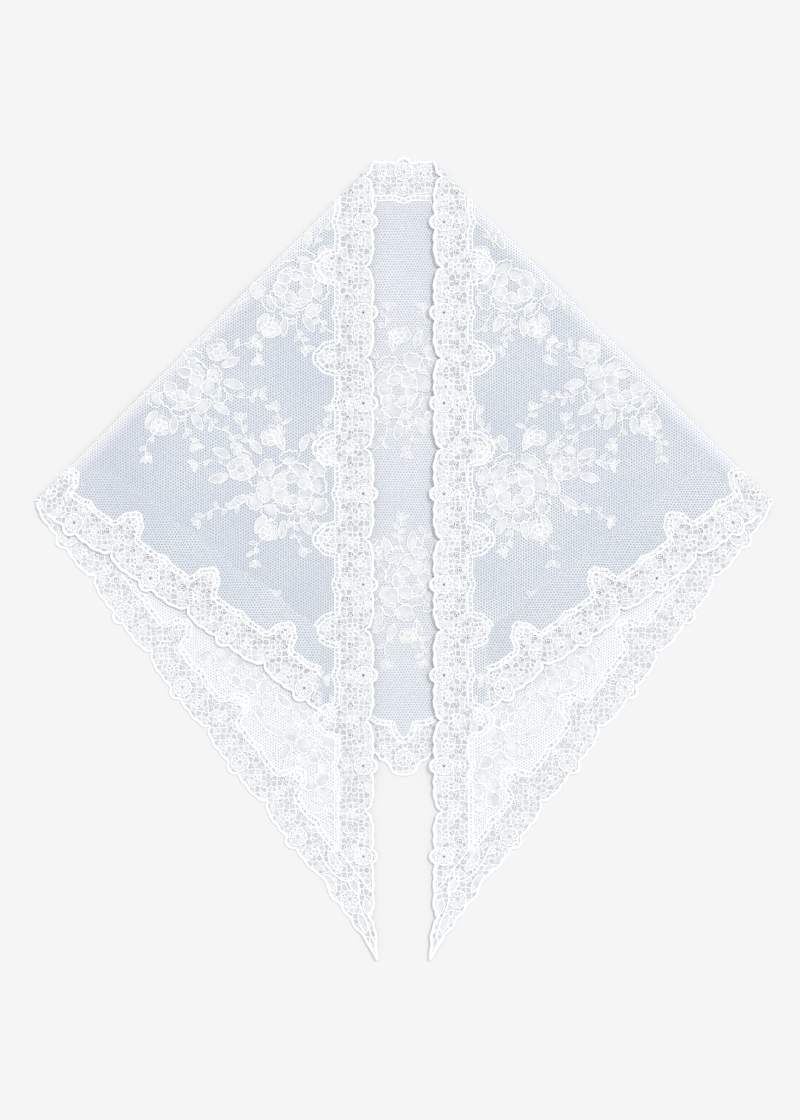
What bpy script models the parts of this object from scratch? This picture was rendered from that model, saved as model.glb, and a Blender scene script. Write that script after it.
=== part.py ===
"""Lace shawl: a net triangle with galloon borders, laid flat with its two fronts folded over the back.

Every piece is drawn in the flat cut, a wide triangle. There x runs along the long edge from the middle
of the neck, and y runs up, so the point at centre back is at negative y. Each shoulder fold is a line
at 45 degrees from the neck down to a hem. laid() carries a point of the cut round its fold, so that
the back lies on Z = 0 and the fronts lie on the back, and sink to Z = 0 past its hem.

The laid-out shawl: metres, +Z up, X across, +Y from the front tips to the neck, and the origin on the
floor under the middle of its outline.
"""

import math

import bmesh
import bpy
from mathutils import Vector
from mathutils.geometry import delaunay_2d_cdt

MM = 0.001

# The cut
HALF_SPAN = 0.745  # from the middle of the neck to a front tip, along the long edge
DEPTH = 0.555  # from the neck to the point at centre back
HEM_BOW = 0.008  # how far a hem bows out of the straight line from point to tip
NECK_HALF = 0.0213  # half of the neck edge that lies between the two shoulder folds

# The walls
WALL = 0.0010  # net and border
SEAM = 0.0003  # between neighbouring pieces
FOLD_AXIS = 0.00155  # height of a shoulder fold's axis: a front's outer side lies twice as high
FOLD_STEPS = 4  # flat stretches round a shoulder fold
CORD_RISE = 0.0007  # the thick cord on the scalloped edges
LADDER_RISE = 0.0005  # the double cord along a border's inner edge
WHEEL_RISE = 0.0004
SPRAY_RISE = 0.0004
CLEAR = 0.0010  # least distance of a raised line or a cell from the edge of its piece
FOLD_CLEAR = 0.0020  # and from a shoulder fold

# One repeat of the border. Shares are of the half repeat, from a wheel towards the next notch.
FRONT_REPEAT = 0.0815  # along the long edge
HEM_REPEAT = 0.085
# share, distance in from the outermost line (mm)
SCALLOP = ((0.0, 0.0), (0.22, 3.4), (0.54, 3.6), (0.81, 5.6), (1.0, 10.3))
INNER_WAVE = ((0.0, 36.5), (0.25, 34.0), (0.68, 34.0), (0.82, 51.0), (1.0, 54.5))
CELLS = ((-0.66, 24.0), (-0.33, 26.5), (0.33, 26.5), (0.66, 24.0))
PAST_BUMP = 0.68  # share at which the bump on the inner edge has ended
CORD_WIDTH = 0.0024
LADDER_WIDTH = 0.0040
WHEEL_IN = 0.0126  # a wheel's centre, in from the outermost line
WHEEL_RINGS = ((0.0074, WHEEL_RISE), (0.0052, 0.0))  # radius, rise
WHEEL_SIDES = 8
NOTCH_CELL_IN = 0.0250
CELL_RADIUS = 0.0027  # to a corner of the hexagon, so it is 4.7 mm across its flats

# The long edge's border is pieced at the notch after the last whole repeat of the neck length
NECK_WHEELS = 7  # from the middle one to the join
END_WHEELS = 2  # from the join to the tip
END_SCALLOP_STOP = 0.54  # share at which the last scallop meets the hem's border

# The hem's border, from the point at centre back
HEM_FIRST_WHEEL = 0.118
HEM_WHEELS = 9
HEM_INNER_STOP = 0.25  # share at which the inner edge runs straight on to the tip
# x, y above the point (mm)
POINT_OUTER = ((0, 0), (10, 3), (17, 13), (24.5, 20))
POINT_INNER = ((0, 33), (5.5, 39), (9, 47.5), (20, 49), (31, 55), (45, 71))
POINT_SHOULDER = (48, 1.8)  # along the hem and in (mm), before the first notch
POINT_WHEEL_UP = 0.015
# distance back from a front tip and in (mm): by the hem, by the long edge, and where the borders meet
TIP_HEM = ((70, 3.0), (52, 4.2), (36, 2.2), (18, 3.0))
TIP_EDGE = ((0, 0.0), (14, 1.5), (28, 3.0), (40, 8.0), (50, 3.8), (60, 4.5))
TIP_MEETING = ((62, 33.8), (80, 34.0), (98.8, 34.0))
TIP_WHEEL = (58, 14.5)
NET_TIP_SHORT = 6  # how much sooner the net ends than the borders meet (mm)

# Sprays on the net, in the cut and again mirrored about the centre: x, y. Folded over, those of the
# fronts lie on those of the back.
SPRAYS = (
    (0.000, -0.204), (0.000, -0.382), (0.106, -0.115), (0.106, -0.293), (0.205, -0.204),
    (0.139, -0.082), (0.228, -0.181), (0.317, -0.082), (0.478, -0.126), (0.574, -0.062),
)
# a flower: centre x, y, radius x, y (mm). A leaf: stalk x, y, tip x, y, width (mm).
FLOWERS = ((-12, 0, 20, 19), (27, 7, 19, 17))
LEAVES = (
    (-6, 22, 0, 48, 13), (22, 27, 44, 46, 11), (46, 0, 68, -12, 10),
    (12, -18, 26, -44, 11), (-22, -20, -32, -44, 10), (-34, 8, -58, 24, 11),
)
PETALS = 7
PETAL_DIP = 0.84  # a flower's radius between two petals
PETAL_CREST = 0.66
FLOWER_HEART = 0.36
HEART_SIDES = 6
LEAF_WIDEST = 0.45  # share of the way from a leaf's stalk to its tip

# colour, roughness
FINISHES = {
    "net_ground": ((0.80, 0.84, 0.90), 0.9),
    "border_neck": ((0.90, 0.91, 0.93), 0.8),
    "border_front_right": ((0.88, 0.90, 0.92), 0.8),
    "border_front_left": ((0.88, 0.90, 0.92), 0.8),
    "border_hem": ((0.86, 0.88, 0.91), 0.8),
}

# Where a front sinks past the back's hem: distance outside the hem's straight line, height kept
SINK = (
    (HEM_BOW + 0.003, 1.0), (HEM_BOW + 0.011, 0.78), (HEM_BOW + 0.019, 0.22), (HEM_BOW + 0.027, 0.0)
)

BEND = math.pi * (FOLD_AXIS - WALL / 2)  # cloth taken up by a shoulder fold
FRONT_LIFT = 2 * FOLD_AXIS - WALL  # height of a front's under side on the back
HEM_LENGTH = math.hypot(HALF_SPAN, DEPTH)
HEM_ALONG = Vector((HALF_SPAN, DEPTH)) / HEM_LENGTH
HEM_OUT = Vector((DEPTH, -HALF_SPAN)) / HEM_LENGTH
POINT = Vector((0, -DEPTH))
SHOULDER = Vector((NECK_HALF, 0))
FOLD_IN = Vector((-1, -1)).normalized()  # square to the right fold, towards the back


def front_at(along, inward):
    """A point of the long edge's border: along from the middle of the neck, and in."""
    return Vector((along, -inward))


def hem_at(along, inward):
    """A point of the right hem's border: along from the point at centre back, and in."""
    share = along / HEM_LENGTH
    edge = POINT + HEM_ALONG * along + HEM_OUT * (HEM_BOW * 4 * share * (1 - share))
    slope = HEM_BOW * 4 * (1 - 2 * share) / HEM_LENGTH
    return edge - (HEM_OUT - HEM_ALONG * slope).normalized() * inward


def hem_left_at(along, inward):
    point = hem_at(along, inward)
    return Vector((-point.x, point.y))


def tip_hem_at(back, inward):
    """A point of the right hem's border, by its distance back from the front tip and in (mm)."""
    return hem_at(HEM_LENGTH - back * MM, inward * MM)


def past_fold(point):
    """Distance of a point from the shoulder fold on its side, positive on the back."""
    return (Vector((abs(point.x), point.y)) - SHOULDER).dot(FOLD_IN)


def mirrored(points):
    """The points on the other side of the centre, in the opposite order."""
    return [Vector((-p.x, p.y)) for p in reversed(points)]


def both_sides(half):
    """A line that starts at the centre, with its mirror image before it."""
    return mirrored(half[1:]) + half


def edge_line(at, table, wheels, repeat, start, stop, shift=0.0):
    """Points along a border's edge, from a share beside the first wheel to one beside the last."""
    rows = [(-share, inward) for share, inward in reversed(table)] + list(table[1:])
    # two neighbouring repeats share the row at their notch
    spots = [(wheel, *row) for wheel in wheels for row in rows[:-1]] + [(wheels[-1], *rows[-1])]
    found = []
    for wheel, share, inward in spots:
        along = wheel + share * repeat / 2
        if wheels[0] + start * repeat / 2 <= along <= wheels[-1] + stop * repeat / 2:
            found.append(at(along, inward * MM + shift))
    return found


def offset(points, distance):
    """An open line moved to its left, mitred at its corners."""
    runs = [b - a for a, b in zip(points, points[1:])]
    moved = []
    for point, before, after in zip(points, runs[:1] + runs, runs + runs[-1:]):
        normals = [Vector((-run.y, run.x)).normalized() for run in (before, after)]
        middle = (normals[0] + normals[1]).normalized()
        moved.append(point + middle * (distance / middle.dot(normals[0])))
    return moved


def ring(centre, radius_x, radius_y, sides):
    angles = [math.tau * i / sides for i in range(sides)]
    return [centre + Vector((radius_x * math.cos(a), radius_y * math.sin(a))) for a in angles]


def inside(point, loop):
    """True if the loop goes round the point."""
    crossings = 0
    for a, b in zip(loop, loop[1:] + loop[:1]):
        if (a.y > point.y) != (b.y > point.y):
            crossings += point.x < a.x + (point.y - a.y) * (b.x - a.x) / (b.y - a.y)
    return crossings % 2 == 1


def distance_to(point, loop):
    """Distance of a point from the nearest stretch of a loop."""
    nearest = math.inf
    for a, b in zip(loop, loop[1:] + loop[:1]):
        run = b - a
        share = min(max((point - a).dot(run) / run.length_squared, 0), 1)
        nearest = min(nearest, (point - a - run * share).length)
    return nearest


class Piece:
    """A piece of the cut: its outline, the cells cut through it and the lines that give it relief."""

    def __init__(self, *stretches):
        """Each stretch of the outline is (points, rise). They follow each other round the piece."""
        self.outline = [point for points, _ in stretches for point in points]
        self.rises = [rise for points, rise in stretches for _ in points]
        area = sum(a.cross(b) for a, b in zip(self.outline, self.outline[1:] + self.outline[:1]))
        if area < 0:
            self.outline.reverse()
            self.rises.reverse()
        self.cells = []
        self.relief = []

    def takes(self, points):
        """True if the points lie well inside the piece, all on the back or all on one front."""
        folds = [past_fold(p) for p in points]
        if min(folds) < FOLD_CLEAR and max(folds) > -BEND - FOLD_CLEAR:
            return False
        return all(inside(p, self.outline) and distance_to(p, self.outline) > CLEAR for p in points)

    def add_cell(self, centre):
        cell = ring(centre, CELL_RADIUS, CELL_RADIUS, 6)
        if self.takes(cell):
            self.cells.append(cell)

    def add_loop(self, points, rise):
        self.relief.append((points, rise, True))

    def add_line(self, points, rise=0.0):
        """Adds the stretches of an open line that fit in the piece."""
        run = []
        for point in points:
            if self.takes([point]) and (not run or past_fold(point) * past_fold(run[0]) > 0):
                run.append(point)
            else:
                self.relief.append((run, rise, False))
                run = []
        self.relief.append((run, rise, False))

    def side(self, on_back):
        """(points, rises, triangles) of one side. It has the relief of the back or of the fronts."""
        points, rises, lines, loops = list(self.outline), [], [], [range(len(self.outline))]
        for point, rise in zip(self.outline, self.rises):
            shows = past_fold(point) > 0 if on_back else past_fold(point) < -BEND
            rises.append(rise if shows else 0.0)
        for cell in self.cells:
            loops.append(range(len(points), len(points) + len(cell)))
            points += cell
            rises += [0.0] * len(cell)
        for line, rise, closed in self.relief:
            if line and (past_fold(line[0]) > 0) == on_back:
                spots = range(len(points), len(points) + len(line))
                lines += list(zip(spots, spots[1:]))
                if closed:
                    lines.append((spots[-1], spots[0]))
                points += line
                rises += [rise] * len(line)
        found = delaunay_2d_cdt(points, lines, loops, 0, SEAM * MM)
        corners = [sources[0] for sources in found[3]]
        in_wall = [cell for cell, parents in zip(found[2], found[5]) if parents == [0]]
        return points, rises, [[corners[i] for i in cell] for cell in in_wall]

    def wall(self):
        """The piece as a closed wall in the cut, with relief up on the back and down on the fronts."""
        bm = bmesh.new()
        sides = []
        for on_back in (True, False):
            points, rises, triangles = self.side(on_back)
            verts = {}
            for i in sorted({i for triangle in triangles for i in triangle}):
                height = WALL + rises[i] if on_back else -rises[i]
                verts[i] = bm.verts.new((*points[i], height))
            for triangle in triangles:
                bm.faces.new([verts[i] for i in (triangle if on_back else triangle[::-1])])
            sides.append(verts)
        top, bottom = sides
        first = 0
        for loop in [self.outline] + self.cells:
            spots = range(first, first + len(loop))
            # the walls of a cell face into it
            below, above = (top, bottom) if first else (bottom, top)
            for a, b in zip(spots, [*spots[1:], first]):
                bm.faces.new((below[a], below[b], above[b], above[a]))
            first += len(loop)
        return bm


def other_hand(piece):
    """The same piece on the other side of the centre."""
    other = Piece((mirrored(piece.outline), 0.0))
    other.rises = piece.rises[::-1]
    other.cells = [mirrored(cell) for cell in piece.cells]
    other.relief = [(mirrored(line), rise, closed) for line, rise, closed in piece.relief]
    return other


def add_wheel(piece, centre):
    rings = [ring(centre, radius, radius, WHEEL_SIDES) for radius, _ in WHEEL_RINGS]
    if piece.takes(rings[0]):
        for points, (_, rise) in zip(rings, WHEEL_RINGS):
            piece.add_loop(points, rise)
        piece.add_line([centre], WHEEL_RISE)


def add_repeats(piece, at, wheels, repeat):
    """The wheels of a border and its largest cells."""
    for wheel in wheels:
        add_wheel(piece, at(wheel, WHEEL_IN))
        for share, inward in CELLS:
            piece.add_cell(at(wheel + share * repeat / 2, inward * MM))
    for wheel in [wheels[0] - repeat, *wheels]:
        piece.add_cell(at(wheel + repeat / 2, NOTCH_CELL_IN))


def neck_border():
    """The long edge's border from join to join, round the neck."""
    wheels = [i * FRONT_REPEAT for i in range(NECK_WHEELS)]
    past_join = [*wheels, NECK_WHEELS * FRONT_REPEAT]
    lines = []
    for cord, ladder in ((0, 0), (CORD_WIDTH, -LADDER_WIDTH)):
        outer = edge_line(front_at, SCALLOP, wheels, FRONT_REPEAT, 0, 1, cord)
        inner = edge_line(front_at, INNER_WAVE, past_join, FRONT_REPEAT, 0, -PAST_BUMP, ladder)
        lines.append((both_sides(outer), both_sides(inner)))
    (outer, inner), feet = lines
    piece = Piece((outer, CORD_RISE), (inner[::-1], LADDER_RISE))
    for foot in feet:
        piece.add_line(foot)
    add_repeats(piece, front_at, [-w for w in wheels[:0:-1]] + wheels, FRONT_REPEAT)
    return piece


def end_border():
    """The long edge's border on the right, from the join to where it meets the hem's."""
    wheels = [(NECK_WHEELS + i) * FRONT_REPEAT for i in range(END_WHEELS)]
    lines = []
    for cord, ladder in ((0, 0), (CORD_WIDTH, -LADDER_WIDTH)):
        outer = edge_line(front_at, SCALLOP, wheels, FRONT_REPEAT, -1, END_SCALLOP_STOP, cord)
        inner = edge_line(front_at, INNER_WAVE, wheels[:1], FRONT_REPEAT, -PAST_BUMP, PAST_BUMP, ladder)
        lines.append((outer, inner))
    (outer, inner), feet = lines
    inner[0], outer[0] = offset([inner[0], outer[0]], -SEAM)
    end = offset(meeting_line(), -SEAM)
    piece = Piece((outer, CORD_RISE), (end, 0.0), (inner[::-1], LADDER_RISE))
    for foot in feet:
        piece.add_line(foot)
    add_repeats(piece, front_at, wheels, FRONT_REPEAT)
    return piece


def meeting_line():
    """Where the two borders meet at the right tip, from the long edge to the net."""
    back, inward = TIP_EDGE[-1]
    return [front_at(HALF_SPAN - back * MM, inward * MM)] + [tip_hem_at(*row) for row in TIP_MEETING]


def hem_border():
    """The hem's border, from tip to tip round the point at centre back."""
    wheels = [HEM_FIRST_WHEEL + i * HEM_REPEAT for i in range(HEM_WHEELS)]
    point_outer, point_inner = (
        [POINT + Vector(row) * MM for row in rows] for rows in (POINT_OUTER, POINT_INNER)
    )
    shoulder = hem_at(POINT_SHOULDER[0] * MM, POINT_SHOULDER[1] * MM)
    lines = []
    for cord, ladder in ((0, 0), (CORD_WIDTH, -LADDER_WIDTH)):
        outer = edge_line(hem_at, SCALLOP, wheels, HEM_REPEAT, -1, 1, cord)
        inner = edge_line(hem_at, INNER_WAVE, wheels, HEM_REPEAT, -PAST_BUMP, HEM_INNER_STOP, ladder)
        lines.append((outer, inner))
    (outer, inner), feet = lines
    outer = [*point_outer, shoulder, *outer, *(tip_hem_at(*row) for row in TIP_HEM)]
    tip = [front_at(HALF_SPAN - back * MM, inward * MM) for back, inward in TIP_EDGE]
    inner = [*point_inner, *inner]
    meeting = meeting_line()[:0:-1]
    piece = Piece(
        (both_sides(outer), CORD_RISE), (tip, CORD_RISE), (meeting[::-1], LADDER_RISE),
        (both_sides(inner)[::-1], LADDER_RISE), (mirrored(meeting[::-1]), LADDER_RISE),
        (mirrored(tip), CORD_RISE),
    )
    for at in (hem_at, hem_left_at):
        add_repeats(piece, at, wheels, HEM_REPEAT)
        add_wheel(piece, at(HEM_LENGTH - TIP_WHEEL[0] * MM, TIP_WHEEL[1] * MM))
    add_wheel(piece, POINT + Vector((0, POINT_WHEEL_UP)))
    for foot in feet:
        piece.add_line(foot)
        piece.add_line(mirrored(foot))
    piece.add_line(offset(both_sides([*point_outer, shoulder]), CORD_WIDTH))
    piece.add_line(offset(both_sides(point_inner), -LADDER_WIDTH))
    return piece


def add_spray(piece, centre, side):
    """Two flowers and their leaves on the net. Each is left off where it doesn't fit on its side of the fold."""
    def fits(outline):
        return past_fold(outline[0]) * past_fold(centre) > 0 and piece.takes(outline)

    for x, y, radius_x, radius_y in FLOWERS:
        heart = centre + Vector((side * x, y)) * MM
        rims = [ring(heart, radius_x * r * MM, radius_y * r * MM, 2 * PETALS) for r in (1, PETAL_DIP)]
        outline = [rims[i % 2][i] for i in range(2 * PETALS)]
        if fits(outline):
            crest = ring(heart, radius_x * PETAL_CREST * MM, radius_y * PETAL_CREST * MM, PETALS)
            core = ring(heart, radius_x * FLOWER_HEART * MM, radius_y * FLOWER_HEART * MM, HEART_SIDES)
            piece.add_loop(outline, 0.0)
            piece.add_loop(crest, SPRAY_RISE)
            piece.add_loop(core, 0.0)
            piece.add_line([heart], SPRAY_RISE)
    for stalk_x, stalk_y, tip_x, tip_y, width in LEAVES:
        stalk = centre + Vector((side * stalk_x, stalk_y)) * MM
        tip = centre + Vector((side * tip_x, tip_y)) * MM
        across = (tip - stalk).orthogonal().normalized() * width / 2 * MM
        middle = stalk.lerp(tip, LEAF_WIDEST)
        outline = [stalk, middle - across, tip, middle + across]
        if fits(outline):
            piece.add_loop(outline, 0.0)
            piece.add_line([middle], SPRAY_RISE)


def net():
    """The net ground between the borders, a seam short of them."""
    wheels = [i * FRONT_REPEAT for i in range(NECK_WHEELS + 1)]
    front = edge_line(front_at, INNER_WAVE, wheels, FRONT_REPEAT, 0, PAST_BUMP)
    corner = meeting_line()[-1]
    front.append(corner - Vector((NET_TIP_SHORT * MM, 0)))
    wheels = [HEM_FIRST_WHEEL + i * HEM_REPEAT for i in range(HEM_WHEELS)]
    hem = [POINT + Vector(row) * MM for row in POINT_INNER]
    hem += edge_line(hem_at, INNER_WAVE, wheels, HEM_REPEAT, -PAST_BUMP, HEM_INNER_STOP)
    hem.append(tip_hem_at(TIP_MEETING[-1][0] + NET_TIP_SHORT, TIP_MEETING[-1][1]))
    piece = Piece(
        (offset(both_sides(front), -SEAM), 0.0), (offset(both_sides(hem), SEAM)[::-1], 0.0)
    )
    for x, y in SPRAYS:
        for side in (-1, 1) if x else (1,):
            add_spray(piece, Vector((side * x, y)), side)
    return piece


def over_fold(point):
    """Where a point of the cut lies across the right shoulder fold, and back again."""
    return point - FOLD_IN * (2 * (point - SHOULDER).dot(FOLD_IN) + BEND)


def crease_lines():
    """(point, normal) in the cut of each line that the right shoulder's fold and front bend along."""
    for step in range(FOLD_STEPS + 1):
        yield SHOULDER - FOLD_IN * (BEND * step / FOLD_STEPS), FOLD_IN
    for distance, _ in SINK:
        yield over_fold(POINT + HEM_OUT * distance), HEM_OUT - FOLD_IN * 2 * HEM_OUT.dot(FOLD_IN)


def height_kept(point):
    """Share of its height that a front keeps: all of it over the back, and none well past the hem."""
    outside = (Vector((abs(point.x), point.y)) - POINT).dot(HEM_OUT)
    if outside <= SINK[0][0]:
        return SINK[0][1]
    for (near, high), (far, low) in zip(SINK, SINK[1:]):
        if outside < far:
            return high + (low - high) * (outside - near) / (far - near)
    return SINK[-1][1]


def laid(point):
    """Where a point of a wall in the cut comes to lie once the fronts are folded over."""
    side = -1 if point.x < 0 else 1
    flat = Vector((abs(point.x), point.y))
    past = past_fold(flat)
    if past > SEAM * MM:
        return point
    height = point.z
    if past >= -BEND - SEAM * MM:
        height = WALL if height > WALL / 2 else 0.0
        turn = math.pi * min(max(-past / BEND, 0), 1)
        radius = FOLD_AXIS - height
        flat = flat - FOLD_IN * (past + radius * math.sin(turn))
        return Vector((side * flat.x, flat.y, FOLD_AXIS - radius * math.cos(turn)))
    flat = over_fold(flat)
    drop = FRONT_LIFT * (1 - height_kept(flat))
    return Vector((side * flat.x, flat.y, 2 * FOLD_AXIS - height - drop))


def lay(bm):
    """Creases a wall along the fold lines and lays it out."""
    for line_point, normal in crease_lines():
        for side in (-1, 1):
            bmesh.ops.bisect_plane(
                bm, geom=bm.verts[:] + bm.edges[:] + bm.faces[:], dist=SEAM * MM,
                plane_co=(side * line_point.x, line_point.y, 0),
                plane_no=(side * normal.x, normal.y, 0),
            )
    bmesh.ops.triangulate(bm, faces=bm.faces[:])
    for vert in bm.verts:
        vert.co = laid(vert.co)


def lace(name, colour, roughness):
    material = bpy.data.materials.new(name)
    material.use_nodes = True
    shader = material.node_tree.nodes["Principled BSDF"]
    shader.inputs["Base Color"].default_value = (*colour, 1)
    shader.inputs["Roughness"].default_value = roughness
    shader.inputs["Metallic"].default_value = 0
    return material


def add_object(collection, name, bm, material):
    lay(bm)
    mesh = bpy.data.meshes.new(name)
    bm.to_mesh(mesh)
    bm.free()
    mesh.materials.append(material)
    obj = bpy.data.objects.new(name, mesh)
    collection.objects.link(obj)
    return obj


def centre(objects):
    """Moves the pieces together so that the origin is under the middle of the outline."""
    points = [vert.co for obj in objects for vert in obj.data.vertices]
    low, high = (Vector(map(pick, zip(*points))) for pick in (min, max))
    shift = Vector(((low.x + high.x) / 2, (low.y + high.y) / 2, low.z))
    for point in points:
        point -= shift


def main():
    for obj in list(bpy.data.objects):
        bpy.data.objects.remove(obj)
    collection = bpy.data.collections.new("lace_shawl")
    bpy.context.scene.collection.children.link(collection)
    end = end_border()
    pieces = {
        "net_ground": net(),
        "border_neck": neck_border(),
        "border_front_right": end,
        "border_front_left": other_hand(end),
        "border_hem": hem_border(),
    }
    objects = []
    for name, piece in pieces.items():
        objects.append(add_object(collection, name, piece.wall(), lace(name, *FINISHES[name])))
    centre(objects)


main()
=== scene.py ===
import math
import random

import bmesh
import bpy
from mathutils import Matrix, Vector
from mathutils.geometry import delaunay_2d_cdt


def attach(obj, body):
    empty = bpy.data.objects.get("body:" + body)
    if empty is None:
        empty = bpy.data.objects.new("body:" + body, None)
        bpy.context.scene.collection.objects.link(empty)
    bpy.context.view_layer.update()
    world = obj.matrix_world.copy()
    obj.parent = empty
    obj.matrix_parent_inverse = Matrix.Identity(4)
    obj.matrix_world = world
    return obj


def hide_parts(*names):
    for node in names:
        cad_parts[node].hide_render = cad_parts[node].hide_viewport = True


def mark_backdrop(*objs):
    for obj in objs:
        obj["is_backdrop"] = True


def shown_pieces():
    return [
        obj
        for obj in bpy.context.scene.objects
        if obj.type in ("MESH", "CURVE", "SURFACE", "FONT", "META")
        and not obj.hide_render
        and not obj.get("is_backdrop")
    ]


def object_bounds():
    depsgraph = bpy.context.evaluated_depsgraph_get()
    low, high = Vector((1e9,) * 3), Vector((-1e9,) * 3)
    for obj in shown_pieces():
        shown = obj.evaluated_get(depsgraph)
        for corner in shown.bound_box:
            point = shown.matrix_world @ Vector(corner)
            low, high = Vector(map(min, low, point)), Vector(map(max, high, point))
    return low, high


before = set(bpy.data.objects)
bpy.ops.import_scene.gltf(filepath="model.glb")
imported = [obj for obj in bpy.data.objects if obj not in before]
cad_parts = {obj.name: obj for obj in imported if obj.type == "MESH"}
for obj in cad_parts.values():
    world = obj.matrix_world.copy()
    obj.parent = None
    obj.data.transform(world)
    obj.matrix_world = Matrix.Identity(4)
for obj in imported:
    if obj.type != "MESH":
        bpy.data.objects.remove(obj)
cadLow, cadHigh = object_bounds()
mm = 0.001
origin = Vector((0, 0))
chance = random.Random(11)

# The cut is a wide flat triangle: x along its long edge from the middle of the neck, y up, in metres.
# Everything is drawn there and then laid out, with both fronts folded over the back.
cut = {
    "halfSpan": 0.745,  # neck to front tip
    "depth": 0.555,  # neck to the point at centre back
    "hemBow": 0.008,  # how far a hem bows out
    "neckHalf": 0.0213,  # half of the edge between the two shoulder folds
}
# How the layers lie on each other, with heights in metres. softShare reads each pair of (mm, share).
stack = {
    "wall": 0.0010,  # the solids' wall, which the cloth lies in the middle of
    "foldAxis": 0.00155,  # height of a shoulder fold's axis
    "foldSteps": 6,  # flat stretches round a fold
    "lift": 0.00015,  # of all cloth, so that the thickest cords stay on the floor
    # a front sinks to the floor past the back's hem: metres out from it, share of the height kept
    "sink": ((0.011, 1.0), (0.019, 0.78), (0.027, 0.22), (0.035, 0.0)),
    # the fronts' long edges stand up a little: by distance in from the edge and from the fold
    "edgeRise": 0.0020,
    "risePast": ((0, 1), (28, 0)),
    "riseFromFold": ((10, 0), (60, 1)),
    # the back's hem lies on the fronts' net: by distance in from the hem, from the middle line and
    # from the shoulder fold
    "hemAbove": ((55, 1), (67, 0)),
    "hemAside": ((66, 0), (84, 1)),
    "hemPastFold": ((6, 0), (30, 1)),
}
# Soft ridges that the laid cloth keeps, in mm from the middle of the neck: ends, half width, height
ridges = (
    (-112, -96, -178, -150, 15, 1.0), (-210, -196, -286, -268, 18, 0.8), (118, -92, 160, -140, 14, 0.9),
    (196, -176, 262, -250, 17, 1.1), (-58, -60, -50, -190, 9, 0.8), (54, -70, 60, -205, 9, 0.9),
    (-92, -300, -64, -410, 12, 0.8), (84, -330, 66, -430, 11, 0.7), (-240, -330, -150, -395, 15, 0.8),
    (150, -300, 235, -345, 16, 0.7), (-30, -70, 28, -64, 8, 0.7), (-70, -560, -52, -640, 8, 0.7),
    (62, -560, 44, -655, 8, 0.8), (-6, -150, 4, -330, 10, 0.5), (-150, -520, -90, -560, 11, 0.6),
    (140, -500, 96, -548, 11, 0.6),
)
ridgeEnd = 0.35  # share of its height that a ridge has at its ends
ridgeReach = 3  # half widths out to where a ridge is gone

foldIn = Vector((-1, -1)).normalized()  # square to the right fold, towards the back
shoulder = Vector((cut["neckHalf"], 0))
point = Vector((0, -cut["depth"]))
hemLength = math.hypot(cut["halfSpan"], cut["depth"])
hemAlong = Vector((cut["halfSpan"], cut["depth"])) / hemLength
hemOut = Vector((cut["depth"], -cut["halfSpan"])) / hemLength
bend = math.pi * (stack["foldAxis"] - stack["wall"] / 2)  # cloth taken up by a fold
frontLift = 2 * stack["foldAxis"] - stack["wall"]


def frontAt(along, inward):
    # a point of the long edge's border
    return Vector((along, -inward))


def hemAt(along, inward):
    # a point of the right hem's border, along from the point at centre back
    share = along / hemLength
    edge = point + hemAlong * along + hemOut * (cut["hemBow"] * 4 * share * (1 - share))
    slope = cut["hemBow"] * 4 * (1 - 2 * share) / hemLength
    return edge - (hemOut - hemAlong * slope).normalized() * inward


def tipAt(back, inward):
    # a point of the right hem's border, by mm back from the front tip and mm in
    return hemAt(hemLength - back * mm, inward * mm)


def mirrored(line):
    return [Vector((-p.x, p.y)) for p in reversed(line)]


def onRight(flat):
    # the same place in the right half
    return Vector((abs(flat.x), flat.y))


def pastFold(flat):
    # distance from the shoulder fold, above 0 on the back
    return (onRight(flat) - shoulder).dot(foldIn)


def pastHem(flat):
    # distance from the straight line of the hem, above 0 outside it
    return (onRight(flat) - point).dot(hemOut)


def overFold(flat):
    # where a point of the right front comes to lie, and the other way round
    return flat - foldIn * (2 * (flat - shoulder).dot(foldIn) + bend)


def heightKept(flat):
    # share of its height that a front keeps past the back's hem
    outside = pastHem(flat)
    steps = stack["sink"]
    if outside <= steps[0][0]:
        return steps[0][1]
    for (near, high), (far, low) in zip(steps, steps[1:]):
        if outside < far:
            return high + (low - high) * (outside - near) / (far - near)
    return steps[-1][1]


def softShare(table, value):
    # read from a table of (mm, share), with a soft start and end
    (low, first), (high, last) = table
    way = min(max((value / mm - low) / (high - low), 0), 1)
    return first + (last - first) * way * way * (3 - 2 * way)


def hemOnTop(flat):
    # 1 where the back's hem lies on the fronts' net, and 0 where the fronts lie on top
    inBand = softShare(stack["hemAbove"], -pastHem(flat)) * softShare(stack["hemAside"], abs(flat.x))
    return inBand * softShare(stack["hemPastFold"], abs(pastFold(flat)))


def ridgeHeight(x, y):
    height = 0.0
    for x0, y0, x1, y1, halfWidth, rise in ridges:
        start, run = Vector((x0, y0)), Vector((x1 - x0, y1 - y0))
        spot = Vector((x, y)) / mm
        way = min(max((spot - start).dot(run) / run.length_squared, 0), 1)
        away = (spot - start - run * way).length / halfWidth
        if away < ridgeReach:
            crest = rise * (ridgeEnd + (1 - ridgeEnd) * math.sin(math.pi * way))
            height += crest * math.exp(-away * away)
    return height * mm


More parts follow.
